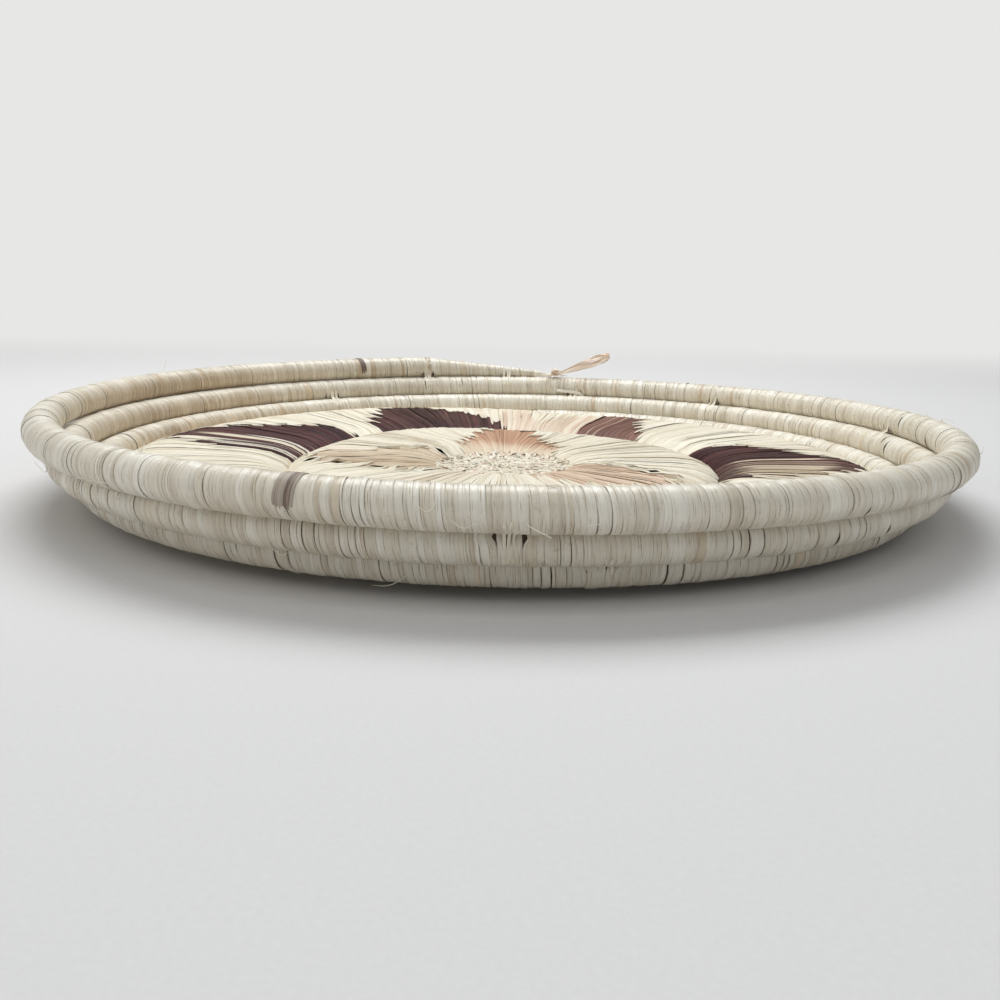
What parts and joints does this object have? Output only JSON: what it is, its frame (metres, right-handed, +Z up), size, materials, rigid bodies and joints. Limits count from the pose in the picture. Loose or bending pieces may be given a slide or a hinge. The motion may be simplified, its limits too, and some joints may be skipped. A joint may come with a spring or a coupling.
{
  "type": "coiled basket plate",
  "caption": "Shallow round basket plate: a coiled raffia wall round a floor of padded, wrapped petals, with a small hanging loop.",
  "frame": {"origin": "centre of the start knot's flat underside, on the surface that the plate stands on", "axes": "+Z up out of the dish, +Y towards the hanging loop and the rim coil's end, +X to the right as seen from the side away from the loop"},
  "size_m": [0.3234, 0.3241, 0.0393],
  "materials": {
    "raffia_cream": "satin",
    "raffia_pale": "satin",
    "raffia_rust": "satin",
    "raffia_tan": "satin",
    "raffia_dark": "satin",
    "raffia_brown": "satin",
    "raffia_straw": "satin",
    "grass_core": "matt"
  },
  "bodies": {
    "plate": {"wall_coil": "raffia_cream", "wall_core": "grass_core", "end_lashing": "raffia_cream", "brown_band_front": "raffia_brown", "brown_band_back": "raffia_brown", "tie_1": "raffia_pale", "tie_2": "raffia_pale", "tie_3": "raffia_pale", "tie_4": "raffia_pale", "tie_5": "raffia_pale", "tie_6": "raffia_pale", "tie_7": "raffia_pale", "tie_8": "raffia_pale", "start_knot": "raffia_pale", "start_coil": "raffia_pale", "inner_ring_core": "grass_core", "outer_ring_core": "grass_core", "wedge_back": "raffia_rust", "wedge_left": "raffia_tan", "wedge_right": "raffia_rust", "inner_petal_1": "raffia_pale", "inner_petal_2": "raffia_pale", "inner_petal_3": "raffia_pale", "dark_patch_1": "raffia_dark", "dark_patch_2": "raffia_dark", "dark_patch_3": "raffia_dark", "dark_patch_4": "raffia_dark", "dark_patch_5": "raffia_dark", "dark_patch_6": "raffia_dark", "outer_petal_1": "raffia_cream", "outer_petal_2": "raffia_cream", "outer_petal_3": "raffia_cream", "outer_petal_4": "raffia_cream", "outer_petal_5": "raffia_cream", "outer_petal_6": "raffia_cream", "loop_knot": "raffia_straw"},
    "loop": {"hanging_loop": "raffia_straw"}
  },
  "joints": [
    {"name": "loop_swing", "type": "hinge", "parent": "plate", "child": "loop", "pos_m": [0.02592, 0.15185, 0.02895], "axis": [0, 0, 1], "range_deg": [-15, 165]}
  ]
}
